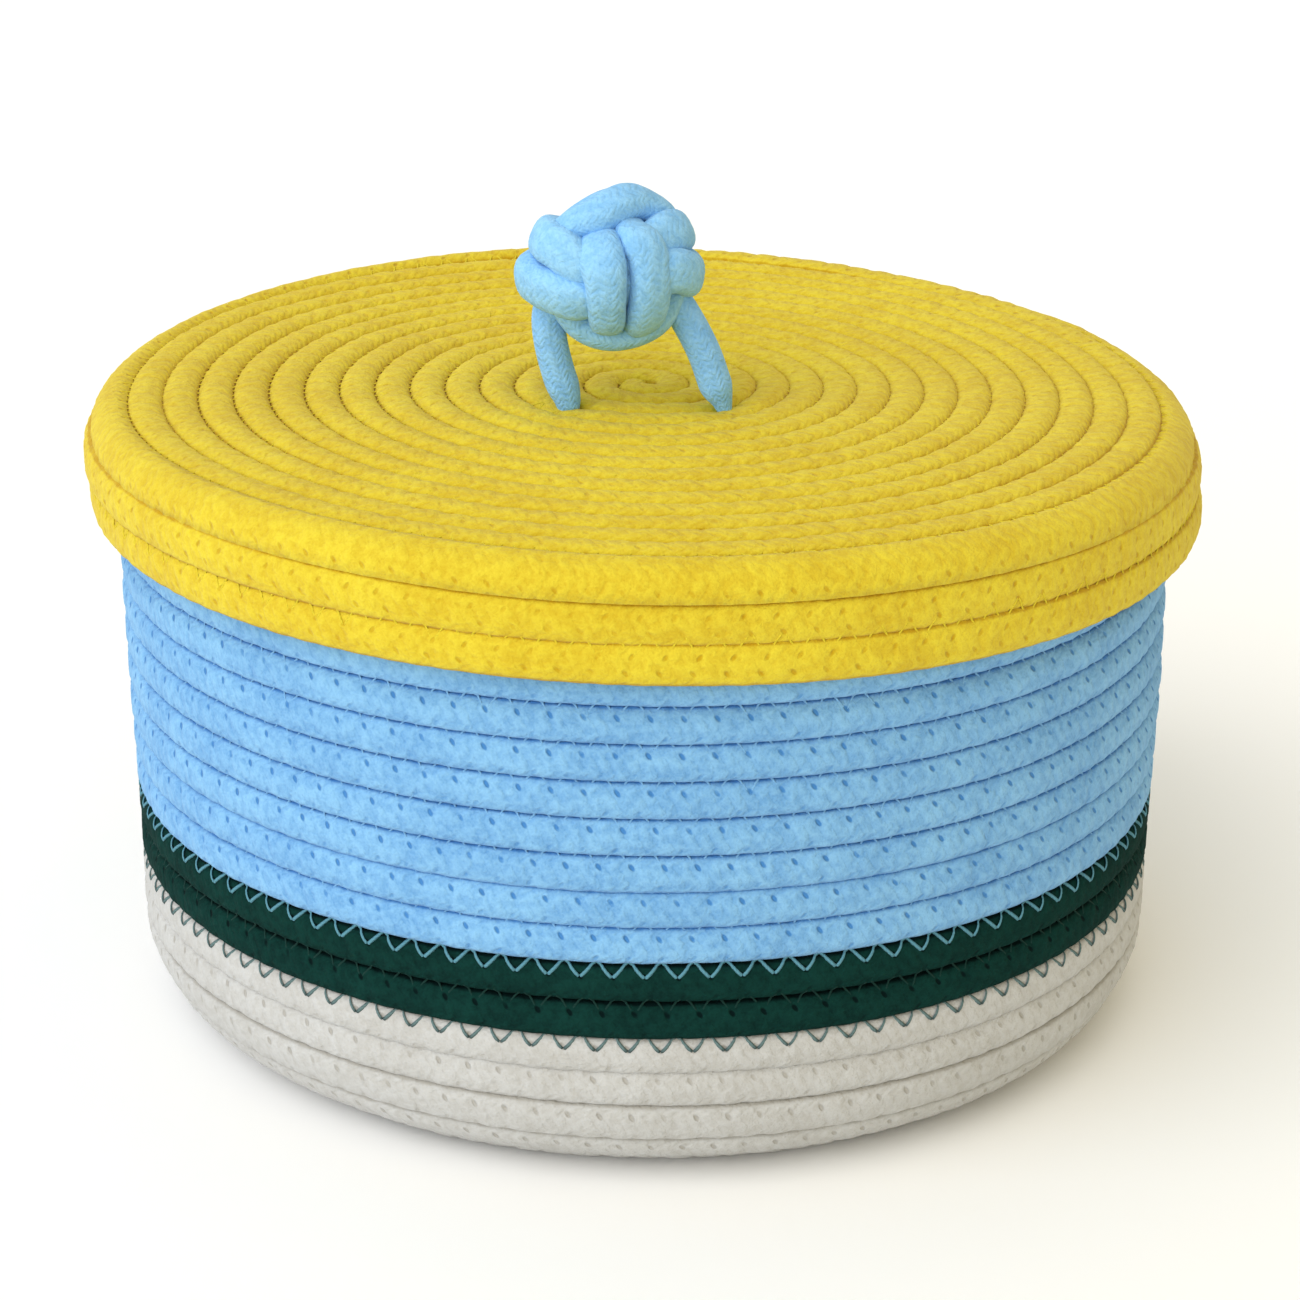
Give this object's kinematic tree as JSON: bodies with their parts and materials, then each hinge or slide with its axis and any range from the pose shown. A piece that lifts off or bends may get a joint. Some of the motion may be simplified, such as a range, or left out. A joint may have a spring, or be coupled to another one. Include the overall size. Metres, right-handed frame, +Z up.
{
  "type": "lidded coiled rope basket",
  "caption": "Round tub of coiled, sewn cotton rope in cream, green and blue rows, with a lift-off yellow lid and a knotted rope handle.",
  "frame": {"origin": "middle of the underside, on the floor", "axes": "+Z up; -Y is the front that faces the camera, +X to its right"},
  "size_m": [0.2674, 0.2714, 0.2084],
  "materials": {
    "cream_cotton": "undyed braided cotton rope, matt",
    "green_cotton": "dark green braided cotton rope, matt",
    "blue_cotton": "light blue braided cotton rope, matt",
    "yellow_cotton": "yellow braided cotton rope, matt"
  },
  "bodies": {
    "basket": {"base_rope": "cream_cotton", "cream_corner_rope": "cream_cotton", "cream_wall_rope": "cream_cotton", "green_rope": "green_cotton", "blue_rope": "blue_cotton"},
    "lid": {"lid_top_rope": "yellow_cotton", "lid_rim_rope": "yellow_cotton", "stopper_knot_left": "blue_cotton", "stopper_knot_right": "blue_cotton"},
    "handle": {"handle_rope": "blue_cotton"}
  },
  "joints": [
    {"name": "lid_lift", "type": "slide", "parent": "basket", "child": "lid", "axis": [0, 0, 1], "range_m": [0, 0.12]},
    {"name": "handle_tilt", "type": "hinge", "parent": "lid", "child": "handle", "pos_m": [0, -0.02, 0.15875], "axis": [1, 0, 0], "range_deg": [-30, 30], "stiffness_Nm_per_rad": 0.06}
  ]
}
